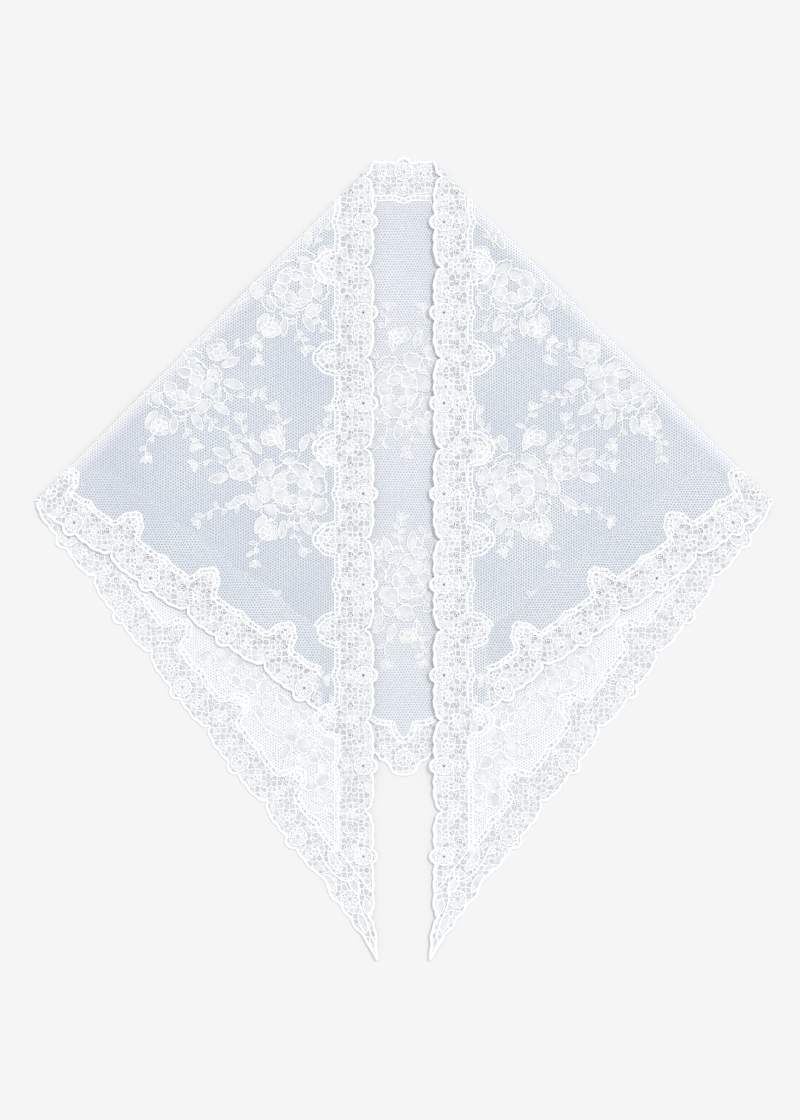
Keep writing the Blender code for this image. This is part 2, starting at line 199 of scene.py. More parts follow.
def laid(place):
    # where a point of the cut lies in the laid shawl; its z is its height from the middle of the cloth
    side = -1 if place.x < 0 else 1
    flat = onRight(place)
    past = pastFold(flat)
    height = stack["wall"] / 2 + place.z
    if past > 0:
        z = height + frontLift * hemOnTop(flat)
    elif past >= -bend:
        turn, radius = math.pi * -past / bend, stack["foldAxis"] - height
        flat = flat - foldIn * (past + radius * math.sin(turn))
        z = stack["foldAxis"] - radius * math.cos(turn)
    else:
        flat = overFold(flat)
        z = 2 * stack["foldAxis"] - height - frontLift * (1 - heightKept(flat) * (1 - hemOnTop(flat)))
        rise = stack["edgeRise"] * softShare(stack["risePast"], -place.y)
        z += rise * softShare(stack["riseFromFold"], -past)
    x = side * flat.x
    return Vector((x, flat.y + cadHigh.y, z + stack["lift"] + ridgeHeight(x, flat.y)))


def creaseLines():
    # every line of the right half that the cloth bends along, as a place and a direction square to it
    for step in range(stack["foldSteps"] + 1):
        yield shoulder - foldIn * (bend * step / stack["foldSteps"]), foldIn
    for distance, _ in stack["sink"]:
        yield overFold(point + hemOut * distance), hemOut - foldIn * 2 * hemOut.dot(foldIn)


def sliced(bm, place, across):
    everything = bm.verts[:] + bm.edges[:] + bm.faces[:]
    bmesh.ops.bisect_plane(bm, geom=everything, dist=1e-7, plane_co=(*place, 0), plane_no=(*across, 0))


def layOut(bm, raised=False):
    # bends a flat mesh along the folds; what is raised on the cloth shows on the fronts too
    for place, across in creaseLines():
        for side in (-1, 1):
            sliced(bm, (side * place.x, place.y), (side * across.x, across.y))
    uvLayer = bm.loops.layers.uv.new("cut")
    for face in bm.faces:
        for loop in face.loops:
            loop[uvLayer].uv = loop.vert.co.xy
    if raised:
        for vert in bm.verts:
            if pastFold(vert.co.xy) < 0:
                vert.co.z = -vert.co.z
        turned = [face for face in bm.faces if pastFold(face.calc_center_median().xy) < 0]
        bmesh.ops.reverse_faces(bm, faces=turned)
    for vert in bm.verts:
        vert.co = laid(vert.co)


def smoothLine(corners, step):
    # a curve through the corners, with a point about every step
    line = []
    ends = zip(corners[:1] + corners, corners, corners[1:], corners[2:] + corners[-1:])
    for before, a, b, after in ends:
        count = max(1, round((b - a).length / step))
        for i in range(count):
            t = i / count
            straight = a * 2 + (b - before) * t
            curved = (before * 2 - a * 5 + b * 4 - after) * t**2 + (a * 3 - before - b * 3 + after) * t**3
            line.append((straight + curved) / 2)
    return line + corners[-1:]


def shifted(line, distance):
    # the line moved to its left
    moved = []
    for before, here, after in zip(line[:1] + line, line, line[1:] + line[-1:]):
        run = (after - before).normalized()
        moved.append(here + Vector((-run.y, run.x)) * distance)
    return moved


def joined(*stretches):
    # one closed outline, without the points that two stretches share
    hair = 0.2 * mm
    outline = []
    for p in [p for stretch in stretches for p in stretch]:
        if not outline or (p - outline[-1]).length > hair:
            outline.append(p)
    return outline[:-1] if (outline[0] - outline[-1]).length < hair else outline


def ringLine(centre, radius, count, turn=0.0):
    # the corners of a round line
    angles = [math.tau * i / count + turn for i in range(count)]
    return [centre + Vector((math.cos(a), math.sin(a))) * radius for a in angles]


def cordMesh(paths, sides=6, raised=0.0, flatness=0.55):
    # round cords in the cut from (points, radius in mm, closed), pressed a little flat and raised by mm
    curve = bpy.data.curves.new("cordPath", "CURVE")
    curve.dimensions = "3D"
    curve.twist_mode = "Z_UP"
    curve.bevel_depth = mm
    curve.bevel_resolution = (sides - 4) // 2
    curve.use_fill_caps = True
    for points, radius, closed in paths:
        spline = curve.splines.new("POLY")
        spline.points.add(len(points) - 1)
        for spot, p in zip(spline.points, points):
            spot.co = (p.x, p.y, 0, 1)
            spot.radius = radius
        spline.use_cyclic_u = closed
    holder = bpy.data.objects.new("cordPath", curve)
    bpy.context.scene.collection.objects.link(holder)
    bpy.context.view_layer.update()
    mesh = bpy.data.meshes.new_from_object(holder.evaluated_get(bpy.context.evaluated_depsgraph_get()))
    bm = bmesh.new()
    bm.from_mesh(mesh)
    bpy.data.meshes.remove(mesh)
    bpy.data.objects.remove(holder)
    bpy.data.curves.remove(curve)
    for layer in list(bm.loops.layers.uv.values()):
        bm.loops.layers.uv.remove(layer)
    bmesh.ops.remove_doubles(bm, verts=bm.verts[:], dist=1e-6)
    bmesh.ops.scale(bm, verts=bm.verts[:], vec=(1, 1, flatness))
    bmesh.ops.translate(bm, verts=bm.verts[:], vec=(0, 0, raised * mm))
    return bm


def counterClockwise(loop):
    area = sum(a.cross(b) for a, b in zip(loop, loop[1:] + loop[:1]))
    return loop if area > 0 else loop[::-1]


def sheetMesh(outline, step, holes=()):
    # a flat sheet inside the outline, with a point about every step so that it can bend
    def steps(values):
        return range(math.ceil(min(values) / step), math.ceil(max(values) / step))

    columns, rows = steps([p.x for p in outline]), steps([p.y for p in outline])
    spots, loops = [], []
    for loop in [outline, *holes]:
        loops.append(range(len(spots), len(spots) + len(loop)))
        spots += counterClockwise(loop)
    spots += [Vector((i + 0.5 * (j % 2), j)) * step for i in columns for j in rows]
    places, _, faces, _, _, owners = delaunay_2d_cdt(spots, [], loops, 1, 1e-6)
    bm = bmesh.new()
    corners = [bm.verts.new((*place, 0)) for place in places]
    for face, owner in zip(faces, owners):
        if owner == [0]:
            # in the outline and in none of the holes
            bm.faces.new([corners[i] for i in face])
    bmesh.ops.delete(bm, geom=[v for v in corners if not v.link_faces], context="VERTS")
    return bm


def addPiece(name, bm, finish, nodes=(), raised=False):
    # a piece of the laid shawl, from its flat mesh
    layOut(bm, raised)
    mesh = bpy.data.meshes.new(name)
    bm.to_mesh(mesh)
    bm.free()
    mesh.shade_smooth()
    mesh.materials.append(finishes[finish])
    piece = bpy.data.objects.new(name, mesh)
    bpy.context.scene.collection.objects.link(piece)
    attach(piece, "root")
    if nodes:
        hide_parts(*nodes)
    return piece


def hexColour(code):
    # sRGB hex to linear
    parts = [int(code[i:i + 2], 16) / 255 for i in (0, 2, 4)]
    return (*(c / 12.92 if c <= 0.04045 else ((c + 0.055) / 1.055) ** 2.4 for c in parts), 1)


def addNode(material, kind, settings=None, links=None):
    node = material.node_tree.nodes.new(kind)
    for key, value in (settings or {}).items():
        if isinstance(key, int) or key in node.inputs:
            node.inputs[key].default_value = value
        else:
            setattr(node, key, value)
    for key, source in (links or {}).items():
        material.node_tree.links.new(source, node.inputs[key])
    return node


def calculated(material, operation, *terms):
    # a term is a number or a socket
    links = {i: term for i, term in enumerate(terms) if isinstance(term, bpy.types.NodeSocket)}
    settings = {i: term for i, term in enumerate(terms) if i not in links}
    return addNode(material, "ShaderNodeMath", {"operation": operation, **settings}, links).outputs[0]


def placeInCut(material):
    return addNode(material, "ShaderNodeUVMap", {"uv_map": "cut"}).outputs[0]


def distanceAlong(material, place, way):
    settings = {"operation": "DOT_PRODUCT", 1: way}
    return addNode(material, "ShaderNodeVectorMath", settings, {0: place}).outputs["Value"]


def ranged(material, value, start, end, first, last):
    # value from start to end becomes first to last, and stays there past them
    settings = {"From Min": start, "From Max": end, "To Min": first, "To Max": last}
    return addNode(material, "ShaderNodeMapRange", settings, {"Value": value}).outputs[0]


def clouds(material, place, size, detail, output="Fac"):
    # soft random patches of about size mm
    settings = {"Scale": 1 / (size * mm), "Detail": detail}
    return addNode(material, "ShaderNodeTexNoise", settings, {"Vector": place}).outputs[output]


def mixed(material, share, first, second):
    # share 0 shows the first colour and 1 the second; each is a hex code or a socket
    settings, links = {"data_type": "RGBA"}, {0: share}
    for slot, colour in ((6, first), (7, second)):
        if isinstance(colour, str):
            settings[slot] = hexColour(colour)
        else:
            links[slot] = colour
    return addNode(material, "ShaderNodeMix", settings, links).outputs[2]


def newMaterial(name):
    material = bpy.data.materials.new(name)
    material.use_nodes = True
    material.node_tree.nodes.clear()
    return material


def finished(material, look, height, colour=None, cover=None):
    # look gives roughness, specular level and sheen, and the strength and mm of its relief
    strength, depth = look["relief"]
    relief = {"Strength": strength, "Distance": depth * mm}
    links = {"Normal": addNode(material, "ShaderNodeBump", relief, {"Height": height}).outputs[0]}
    settings = dict(zip(("Roughness", "Specular IOR Level", "Sheen Weight"), look["surface"]))
    if colour is None:
        settings["Base Color"] = hexColour(look["colour"])
    else:
        links["Base Color"] = colour
    if cover is not None:
        links["Alpha"] = cover
    shader = addNode(material, "ShaderNodeBsdfPrincipled", settings, links)
    addNode(material, "ShaderNodeOutputMaterial", None, {"Surface": shader.outputs[0]})
    return material


# Cotton bobbin net: fine round threads twisted into hexagons, an even veil with a painted cool shadow in it
# and painted shade beside the threads, and painted light along the folds, on the back and where only one
# layer lies
netLook = {
    "mesh": 2.6,  # mm between two holes; the real 1.8 mm is too fine to show
    "pull": 2.4, "pullEvery": 11,  # mm that threads are pulled out of line, and every how many mm
    "slub": 3.12, "uneven": 2.2,  # mm from thin to thick thread, and how much that adds to the waves
    "threadEdge": (-1.0, 0.2), "holeEdge": (0.0, 2.0),  # on the waves' sum: -1.5 on threads, 3 in holes
    "inHole": 0.62,  # share of a hole that finer threads cover
    # light to shade carries the painted cool shadow, beside is painted shade next to the threads, fold is
    # the painted light
    "light": "F0F2F4", "shade": "C7CFDB", "beside": "CBD2DC", "fold": "F3F4F7",
    "shadowPatch": 95,  # mm across a patch of the painted shadow
    "shadowSide": -0.25,  # added to the painted shadow for each metre to the right
    "foldLight": (2, 16),  # mm from a fold, over which its painted light fades out
    "edgeFade": 10,  # mm over which the painted light of the back and past the hem comes in
    "backMiddle": (45, 75),  # mm from the middle line over which the back's painted light goes out
    "foldPale": 0.9, "backPale": 0.25, "pastHemPale": 0.8,  # shares of the fold's paler colour, which is painted light
    "surface": (0.9, 0.2, 0.15), "relief": (0.3, 0.2),
}


def netMaterial():
    material, look = newMaterial("cotton bobbin net"), netLook
    place = placeInCut(material)
    wobble = clouds(material, place, look["pullEvery"], 1.0, "Color")
    pull = {"operation": "MULTIPLY_ADD", 1: (look["pull"] * mm,) * 3}
    pulled = addNode(material, "ShaderNodeVectorMath", pull, {0: wobble, 2: place}).outputs[0]
    slub = clouds(material, place, look["slub"], 1.0)
    total = calculated(material, "MULTIPLY_ADD", slub, look["uneven"], -look["uneven"] / 2)
    wave = 4 * math.pi / (math.sqrt(3) * look["mesh"] * mm)
    for degrees in (90, 30, 150):
        # three crossed waves add up to a hexagon of threads round each hole
        angle = math.radians(degrees)
        way = (math.cos(angle) * wave, math.sin(angle) * wave, 0)
        swing = calculated(material, "COSINE", distanceAlong(material, pulled, way))
        total = calculated(material, "ADD", total, swing)
    thread = ranged(material, total, *look["threadEdge"], 1.0, 0.0)
    cover = ranged(material, total, *look["holeEdge"], 1.0, look["inHole"])

    # the painted cool shadow: soft patches, a little stronger to the left
    patch = clouds(material, place, look["shadowPatch"], 2.0)
    side = distanceAlong(material, place, (look["shadowSide"], 0, 0))
    paintedShadow = mixed(material, calculated(material, "ADD", patch, side), look["light"], look["shade"])

    # the painted light, measured in the right half with y turned up
    half = addNode(material, "ShaderNodeVectorMath", {"operation": "ABSOLUTE"}, {0: place}).outputs[0]
    past = distanceAlong(material, half, (foldIn.x, -foldIn.y, 0))
    offFold = calculated(material, "SUBTRACT", past, shoulder.dot(foldIn))
    near, far = (distance * mm for distance in look["foldLight"])
    fold = ranged(material, calculated(material, "ABSOLUTE", offFold), near, far, look["foldPale"], 0.0)
    onBack = ranged(material, offFold, 0.0, look["edgeFade"] * mm, 0.0, look["backPale"])
    near, far = (distance * mm for distance in look["backMiddle"])
    across = addNode(material, "ShaderNodeSeparateXYZ", None, {0: half}).outputs[0]
    back = calculated(material, "MINIMUM", onBack, ranged(material, across, near, far, 1.0, 0.0))
    # how far a front lies past the back's hem
    way = hemOut - foldIn * 2 * foldIn.dot(hemOut)
    hemLine = point.dot(hemOut) - 2 * shoulder.dot(foldIn) * foldIn.dot(hemOut)
    near, far = hemLine - look["edgeFade"] * mm, hemLine + look["edgeFade"] * mm
    reach = distanceAlong(material, half, (way.x, -way.y, 0))
    single = ranged(material, reach, near, far, 0.0, look["pastHemPale"])
    paintedLight = calculated(material, "MAXIMUM", calculated(material, "MAXIMUM", fold, back), single)

    # painted shade beside the threads, the painted cool shadow on them, and painted light over both
    colour = mixed(material, paintedLight, mixed(material, thread, look["beside"], paintedShadow), look["fold"])
    return finished(material, look, thread, colour, cover)


# Galloon ground: thick white thread round rounded cells, unevenly filled with finer threads, greyed as
# painted shade in the cells
galloonLook = {
    "cell": 5.2,  # mm from cell to cell
    "uneven": 0.6,
    "threadHalf": (0.45, 0.8),  # mm, from thread to filling
    "filling": (0.62, 0.97),  # share of a cell that the finer threads cover
    "fillSpread": (0.2, 0.8),  # of a cell's random number, for the sparsest and the closest filling
    "line": "F1F3F5", "fill": "DDE1E6",
    "surface": (0.85, 0.25, 0.2), "relief": (0.5, 0.4),
}


def galloonMaterial():
    material, look = newMaterial("cotton galloon ground"), galloonLook
    place = placeInCut(material)
    cells = {"voronoi_dimensions": "2D", "Scale": 1 / (look["cell"] * mm), "Randomness": look["uneven"]}
    chosen = addNode(material, "ShaderNodeTexVoronoi", cells, {"Vector": place}).outputs["Color"]
    cells["feature"] = "DISTANCE_TO_EDGE"
    edge = addNode(material, "ShaderNodeTexVoronoi", cells, {"Vector": place}).outputs["Distance"]
    near, far = (distance / look["cell"] for distance in look["threadHalf"])
    line = ranged(material, edge, near, far, 1.0, 0.0)
    filling = ranged(material, chosen, *look["fillSpread"], *look["filling"])
    # the fill colour is painted shade in the open cells
    colour = mixed(material, line, look["fill"], look["line"])
    return finished(material, look, line, colour, calculated(material, "MAXIMUM", line, filling))


# Gimp cord: thick loosely twisted cotton, whiter than the net, with a faint thread sheen
cordLook = {
    "twist": 1.6,  # mm, drawn coarser than the real 0.7 mm, to show
    "colour": "FAFBFC", "surface": (0.7, 0.3, 0.25), "relief": (0.5, 0.3),
}


def cordMaterial():
    material = newMaterial("cotton gimp cord")
    place = addNode(material, "ShaderNodeTexCoord").outputs["Object"]
    return finished(material, cordLook, clouds(material, place, cordLook["twist"], 2.0))


# Woven toile of petals and leaves: threads laid close together, nearly solid and only a little darker
toileLook = {
    "thread": 1.1,  # mm, drawn coarser than the real 0.4 mm
    "waveScale": 0.314,  # of the wave texture, for a thread of 1
    "waver": 1.5,
    "cover": (0.6, 0.94),  # between the threads and on them
    "patch": 11, "patchEdge": (0.35, 0.6),  # mm, and from shade to light
    "light": "F5F6F8", "shade": "DFE4EA",
    "surface": (0.85, 0.25, 0.2), "relief": (0.35, 0.2),
}


def toileMaterial():
    material, look = newMaterial("woven cotton toile"), toileLook
    place = placeInCut(material)
    weave = {"bands_direction": "DIAGONAL", "Distortion": look["waver"]}
    weave["Scale"] = look["waveScale"] / (look["thread"] * mm)
    thread = addNode(material, "ShaderNodeTexWave", weave, {"Vector": place}).outputs["Fac"]
    dense = ranged(material, clouds(material, place, look["patch"], 2.0), *look["patchEdge"], 0.0, 1.0)
    colour = mixed(material, dense, look["shade"], look["light"])
    return finished(material, look, thread, colour, ranged(material, thread, 0.0, 0.5, *look["cover"]))


finishes = {
    "net": netMaterial(), "galloon": galloonMaterial(),
    "cord": cordMaterial(), "toile": toileMaterial(),
}

# The galloon border along the long edge, or front, and along the hems. Repeats are in metres, and waves are
# (share of the half repeat from a wheel to the next notch, mm in).
border = {
    "frontRepeat": 0.0815, "hemRepeat": 0.085,
    "outerWave": ((0, 0.2), (0.09, 1.6), (0.16, 5.2), (0.24, 4.6), (0.36, 3.6), (0.46, 4.7), (0.58, 3.6),
                  (0.7, 4.4), (0.78, 5.6), (0.88, 6.2), (0.95, 8.4), (1, 11.2)),
    "innerWave": ((0, 37.0), (0.1, 35.2), (0.25, 34.0), (0.5, 34.4), (0.66, 34.6), (0.72, 40), (0.76, 46.5),
                  (0.86, 50), (0.93, 53.6), (1, 54.0)),
    "pastBump": 0.66,  # share at the foot of an inner bump
    "neckWheels": 7, "endWheels": 2, "hemWheels": 9,  # the neck's from its middle one to one side
    "endStop": 0.58, "hemStop": 0.9, "hemInnerStop": 0.25,  # shares past the last wheel
    "hemFirst": 0.118,  # metres from the point at centre back to the first wheel
    # mm to the right of the point at centre back and up from it, then mm along the hem and in
    "pointOuter": ((0, 0), (5, 0.6), (10, 3), (13, 9), (17, 13), (21, 14), (24.5, 19)),
    "pointInner": ((0, 33), (5.5, 38), (9, 47.5), (20, 49), (31, 55), (45, 71)),
    "hemStart": (48, 2),
    # mm back from the front tip and mm in, from the hem and then from the long edge
    "tipHem": ((84, 7.5), (70, 3.0), (60, 5.2), (52, 3.4), (44, 4.8), (36, 2.4), (27, 4.0), (18, 2.6),
               (9, 1.6)),
    "tipMeeting": ((62, 33.8), (80, 34), (98.8, 34)),
    "tipEdge": ((0, 0), (8, 0.6), (14, 1.5), (21, 1.0), (28, 3), (34, 4.4), (40, 8), (45, 4.6), (50, 3.2),
                (60, 4.5)),
    "wheelIn": 12.6, "tipWheel": (58, 14.5), "pointWheelUp": 15,  # mm
    "outerCord": 1.35, "tipCord": 1.215, "meetingCord": 0.7, "ladderCord": 0.8, "rung": 0.6,  # radii in mm
    "ladderGap": 4.0, "rungEvery": 4.0,  # mm
}
edgeStep = 2.4 * mm  # between two points of a smooth edge


def waveLine(at, wave, wheels, repeat, start, stop):
    # corners along a border's edge, from a share beside the first wheel to one beside the last
    slack = 0.001  # of the half repeat, for rounding
    first = wheels[0] + (start - slack) * repeat / 2
    last = wheels[-1] + (stop + slack) * repeat / 2
    rows = [(-share, inward) for share, inward in reversed(wave)] + list(wave[1:])
    spots = [(wheel, *row) for wheel in wheels for row in rows[:-1]] + [(wheels[-1], *rows[-1])]
    places = [(wheel + share * repeat / 2, inward * mm) for wheel, share, inward in spots]
    return [at(*place) for place in places if first <= place[0] <= last]


def borderLines():
    # the smoothed outer and inner edge of each length of border; at the front tip, the end of the hem's
    # border and its meeting with the end length
    outer, inner, bump = border["outerWave"], border["innerWave"], border["pastBump"]
    repeat, count = border["frontRepeat"], border["neckWheels"]
    neckOuter = waveLine(frontAt, outer, [i * repeat for i in range(1 - count, count)], repeat, -1, 1)
    neckInner = waveLine(frontAt, inner, [i * repeat for i in range(-count, count + 1)], repeat, bump, -bump)

    tip = [frontAt(cut["halfSpan"] - back * mm, inward * mm) for back, inward in border["tipEdge"]]
    meeting = tip[-1:] + [tipAt(*row) for row in border["tipMeeting"]]
    endWheels = [(count + i) * repeat for i in range(border["endWheels"])]
    endOuter = waveLine(frontAt, outer, endWheels, repeat, -1, border["endStop"]) + meeting[:1]
    endInner = waveLine(frontAt, inner, endWheels[:1], repeat, -bump, bump) + meeting[-1:]

    repeat = border["hemRepeat"]
    hemWheels = [border["hemFirst"] + i * repeat for i in range(border["hemWheels"])]
    start = hemAt(*(distance * mm for distance in border["hemStart"]))
    hemOuter = [point + Vector(row) * mm for row in border["pointOuter"]] + [start]
    hemOuter += waveLine(hemAt, outer, hemWheels, repeat, -1, border["hemStop"])
    hemOuter += [tipAt(*row) for row in border["tipHem"]] + [frontAt(cut["halfSpan"], 0)]
    hemInner = [point + Vector(row) * mm for row in border["pointInner"]]
    hemInner += waveLine(hemAt, inner, hemWheels, repeat, -bump, border["hemInnerStop"]) + meeting[-1:]
    pairs = {
        "neck": (neckOuter, neckInner),
        "end": (endOuter, endInner),
        "hem": (mirrored(hemOuter[1:]) + hemOuter, mirrored(hemInner[1:]) + hemInner),
        "tip": (tip, meeting),
    }
    return {name: [smoothLine(line, edgeStep) for line in pair] for name, pair in pairs.items()}


lines = borderLines()
tipLine, meetingLine = lines["tip"]
print("border edges drawn")


def ladderLines(inner):
    # two cords along the inner edge, with rungs between them
    foot = shifted(inner, -border["ladderGap"] * mm)
    found = [(inner, border["ladderCord"], False), (foot, border["ladderCord"], False)]
    gone = 0.0
    for before, here, below in zip(inner, inner[1:], foot[1:]):
        gone += (here - before).length
        if gone > border["rungEvery"] * mm:
            gone = 0.0
            found.append(([here, below], border["rung"], False))
    return found


# Outlines of petals and leaves: how narrow at the base, how pointed at the tip, how ruffled, how many points
petalForms = {
    "petal": (0.75, 0.0, 0.2, 20), "loop": (0.6, 0.0, 0.0, 8),
    "leaf": (0.4, 0.6, 0.0, 12), "twig": (0.4, 0.5, 0.0, 8),
}
# Each starts as a circle of diameter 1
petalShape = {
    "widen": 1.12,  # for the width that tapering takes
    "scallops": 5,  # round a ruffled tip
    "rim": 0.16,
    "heights": (1, 0.5, 0.8),  # shares of its rise: rim, inside the rim, middle
}
toileRise = 0.15 * mm  # of the border's woven petals


def petalSpot(base, tip, width, form, bow, x, y):
    # a point of the circle, moved to its place in a petal
    narrow, pointed, ruffle, _ = petalForms[form]
    run = tip - base
    across = Vector((run.y, -run.x)).normalized()
    scallop = abs(math.cos(petalShape["scallops"] * math.atan2(x, y)))
    ripple = 1 - ruffle * (1 - scallop) if y > 0 else 1
    reach = y * ripple + 0.5
    taper = (1 - narrow * (1 - reach) ** 2) * (1 - pointed * reach**3)
    spread = x * ripple * petalShape["widen"] * taper
    return base + run * reach + across * (spread * width + bow * run.length * reach * (1 - reach))


def petalOutline(base, tip, width, form, bow=0.0):
    spots = ringLine(origin, 0.5, petalForms[form][3], math.pi / 2)
    return [petalSpot(base, tip, width, form, bow, spot.x, spot.y) for spot in spots]


def threadLoop(base, tip, width, count):
    return [petalSpot(base, tip, width, "loop", 0, spot.x, spot.y) for spot in ringLine(origin, 0.5, count)]


def addPetal(bm, base, tip, width, form, bow, rise):
    # a woven petal with a raised rim and a soft crease down the middle
    start, count = len(bm.verts), petalForms[form][3]
    circle = bmesh.ops.create_circle(bm, cap_ends=True, segments=count, radius=0.5)
    face = circle["verts"][0].link_faces[0]
    bmesh.ops.inset_region(bm, faces=[face], thickness=petalShape["rim"])
    bmesh.ops.poke(bm, faces=[face])
    bm.verts.ensure_lookup_table()
    for i, vert in enumerate(bm.verts[start:]):
        place = petalSpot(base, tip, width, form, bow, vert.co.x, vert.co.y)
        vert.co = (place.x, place.y, rise * petalShape["heights"][i // count])


# What is on each length of border: cords as (points, radius in mm, closed), woven petals and open cells
borderCords = {"neck": [], "left": [], "right": [], "hem": []}
borderToile = {name: bmesh.new() for name in borderCords}
borderHoles = {name: [] for name in borderCords}

# A daisy in a ring, all in mm. Petals: from, to, width
wheelLook = {
    "ring": 8.0, "ringCord": 0.9, "hub": 1.5, "hubCord": 0.4,
    "petals": 9, "petal": (2.1, 7.4, 3.7), "petalCord": 0.58,
}


def addWheel(name, centre):
    # woven petals round a small open hub
    low, top, wide = wheelLook["petal"]
    for a in range(wheelLook["petals"]):
        angle = math.tau * a / wheelLook["petals"]
        way = Vector((math.cos(angle), math.sin(angle))) * mm
        base, tip = centre + way * low, centre + way * top
        addPetal(borderToile[name], base, tip, wide * mm, "loop", 0, toileRise)
        borderCords[name].append((threadLoop(base, tip, wide * mm, count=8), wheelLook["petalCord"], True))
    ring = ringLine(centre, wheelLook["ring"] * mm, count=18)
    hub = ringLine(centre, wheelLook["hub"] * mm, count=7)
    borderCords[name] += [(ring, wheelLook["ringCord"], True), (hub, wheelLook["hubCord"], True)]
    borderHoles[name].append(ring)


# A small open flower of thread loops round a ring: shares of its radius, and cords' radii in mm
flowerLook = {"hub": 0.26, "hubCord": 0.5, "petalFrom": 0.3, "petalCord": 0.58}


def addFlower(name, centre, size, petals):
    radius, turn = size * mm, chance.uniform(0, 6)
    hub = ringLine(centre, radius * flowerLook["hub"], count=6)
    borderCords[name].append((hub, flowerLook["hubCord"], True))
    for a in range(petals):
        angle = turn + math.tau * a / petals
        way = Vector((math.cos(angle), math.sin(angle)))
        base, tip = centre + way * radius * flowerLook["petalFrom"], centre + way * radius
        loop = threadLoop(base, tip, radius * 2.0 * math.sin(math.pi / petals), count=7)
        borderCords[name].append((loop, flowerLook["petalCord"], True))


# A ring, in mm; a large one is an open cell with fine threads in it, some of them round a share of it
ringLook = {"cord": 0.5, "openFrom": 2.7, "inner": 0.5, "thread": 0.35}


def addRing(name, centre, radius):
    cell = ringLine(centre, radius * mm, 7, chance.uniform(0, 1))
    borderCords[name].append((cell, ringLook["cord"], True))
    if radius > ringLook["openFrom"]:
        borderHoles[name].append(cell)
        borderCords[name] += [([cell[i], cell[i + 3]], ringLook["thread"], False) for i in (0, 2)]
        inner = ringLine(centre, radius * ringLook["inner"] * mm, count=6)
        borderCords[name].append((inner, ringLook["thread"], True))


def addLeaf(name, base, tip, width, bow, cord):
    addPetal(borderToile[name], base, tip, width * mm, "leaf", bow, toileRise)
    borderCords[name].append((petalOutline(base, tip, width * mm, "leaf", bow), cord, True))


def placed(at, along, inward, side):
    p = at(along, inward)
    return Vector((side * p.x, p.y))


# Motifs of one repeat: share of the half repeat, mm in, size in mm. Leaves: base, tip, width
repeatMotifs = {
    "flowers": ((-0.45, 15.5, 5.6), (0.45, 15.5, 5.6), (1.0, 22.5, 6.6), (0.0, 27.0, 4.6),
                (0.97, 43.5, 5.6)),
    "rings": ((-0.66, 24, 3.0), (-0.33, 26.5, 2.9), (0.33, 26.5, 2.9), (0.66, 24, 3.0), (-0.22, 21.5, 2.3),
              (0.22, 21.5, 2.3), (-0.78, 14.5, 2.6), (0.78, 14.5, 2.6), (-0.62, 29, 2.2), (0.62, 29, 2.2),
              (0.84, 33.5, 2.9), (1.16, 33.5, 2.9), (0.82, 41, 2.5), (1.18, 41, 2.5), (0.9, 48.5, 2.6),
              (1.1, 48.5, 2.6), (1.0, 33.0, 2.3), (-0.16, 31, 2.2), (0.16, 31, 2.2)),
    "leaves": ((-0.62, 8.2, -0.34, 9.6, 4.4), (0.34, 9.6, 0.62, 8.2, 4.4), (-0.93, 13.5, -0.72, 9.0, 4.2),
               (0.72, 9.0, 0.93, 13.5, 4.2), (-0.3, 8.4, -0.24, 15.0, 3.0), (0.3, 8.4, 0.24, 15.0, 3.0)),
    "leafBow": 0.12, "leafCord": 0.42,
}


def addRepeat(name, at, wheel, repeat, side):
    flowers, rings, leaves = (repeatMotifs[kind] for kind in ("flowers", "rings", "leaves"))
    if at is frontAt and abs(wheel) > (border["neckWheels"] + 0.5) * border["frontRepeat"]:
        # the end length runs out past its last wheel
        flowers, leaves = flowers[:1], leaves[:1]
        rings = [(share, inward, size) for share, inward, size in rings if share < 0 and inward < 30]
    way = 1 if wheel >= 0 or at is hemAt else -1

    def spot(share, inward):
        return placed(at, wheel + way * share * repeat / 2, inward * mm, side)

    addWheel(name, spot(0, border["wheelIn"]))
    for share, inward, size in flowers:
        # the one above a notch has a petal more
        addFlower(name, spot(share, inward), size, petals=6 if share == 1.0 else 5)
    for share, inward, size in rings:
        addRing(name, spot(share, inward), size)
    for share0, in0, share1, in1, width in leaves:
        base, tip = spot(share0, in0), spot(share1, in1)
        addLeaf(name, base, tip, width, repeatMotifs["leafBow"], repeatMotifs["leafCord"])


outermost = border["neckWheels"] + border["endWheels"] - 1
for i in range(-outermost, outermost + 1):
    name = "neck" if abs(i) < border["neckWheels"] else "left" if i < 0 else "right"
    addRepeat(name, frontAt, i * border["frontRepeat"], border["frontRepeat"], 1)
for i in range(border["hemWheels"]):
    for side in (-1, 1):
        addRepeat("hem", hemAt, border["hemFirst"] + i * border["hemRepeat"], border["hemRepeat"], side)

# Beside the point at centre back: mm to the side of it and up from it, size in mm
pointMotifs = {
    "flowers": ((17, 25, 5.4), (31, 36, 5.6), (47, 51, 5.6), (13, 41, 4.4), (60, 58, 4.6)),
    "rings": ((6, 28, 2.5), (23, 44, 2.8), (24, 30, 2.3), (39, 44, 2.8), (38, 53, 2.4), (56, 68, 2.8),
              (50, 63, 2.4), (30, 48, 2.3), (10, 33, 2.2), (56, 50, 2.3), (20, 34, 2.2)),
}
for side in (-1, 1):
    for x, y, size in pointMotifs["flowers"]:
        addFlower("hem", point + Vector((side * x, y)) * mm, size, petals=5)
    for x, y, size in pointMotifs["rings"]:
        addRing("hem", point + Vector((side * x, y)) * mm, size)
for side in (1, -1):
    addWheel("hem", placed(tipAt, *border["tipWheel"], side))
addWheel("hem", point + Vector((0, border["pointWheelUp"] * mm)))

